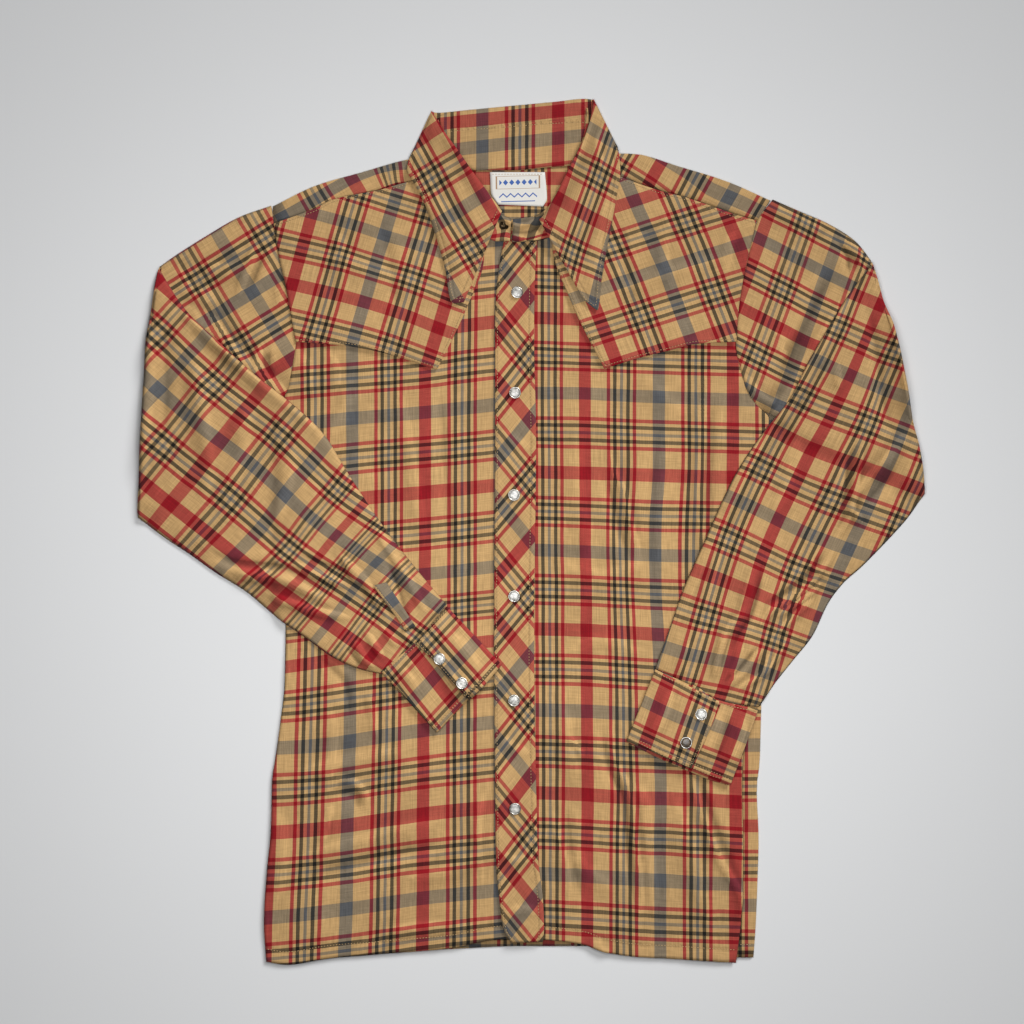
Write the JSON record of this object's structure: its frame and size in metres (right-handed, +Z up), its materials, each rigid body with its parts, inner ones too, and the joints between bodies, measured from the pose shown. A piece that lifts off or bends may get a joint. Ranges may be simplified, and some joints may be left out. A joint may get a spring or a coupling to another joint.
{
  "type": "western snap shirt",
  "caption": "Long-sleeved western shirt in plaid cotton, with pointed yokes, a wide collar and a snap front, laid out flat with its sleeves folded over.",
  "frame": {"origin": "the point on the floor under the middle of the shirt's outline", "axes": "+Y from the hem towards the collar, +X towards the wearer's left sleeve, +Z up out of the front"},
  "size_m": [0.7892, 0.8667, 0.0122],
  "materials": {
    "plaid_cotton": "matte woven cotton plaid",
    "woven_label": "satin woven label",
    "pearl": "pearl cap in a polished ring",
    "steel": "tarnished snap socket"
  },
  "bodies": {
    "root": {"back": "plaid_cotton", "back_yoke": "plaid_cotton", "front_right": "plaid_cotton", "front_left": "plaid_cotton", "yoke_right": "plaid_cotton", "yoke_left": "plaid_cotton", "placket": "plaid_cotton", "neckband": "plaid_cotton", "collar": "plaid_cotton", "sleeve_right": "plaid_cotton", "sleeve_left": "plaid_cotton", "cuff_right": "plaid_cotton", "cuff_left": "plaid_cotton", "slit_facing": "plaid_cotton", "label": "woven_label", "snap_placket_1": "pearl", "snap_placket_2": "pearl", "snap_placket_3": "pearl", "snap_placket_4": "pearl", "snap_placket_5": "pearl", "snap_placket_6": "pearl", "snap_cuff_right_1": "pearl", "snap_cuff_right_2": "pearl", "snap_cuff_left_1": "pearl", "snap_cuff_left_2": "pearl", "socket_neckband": "steel"}
  },
  "joints": []
}
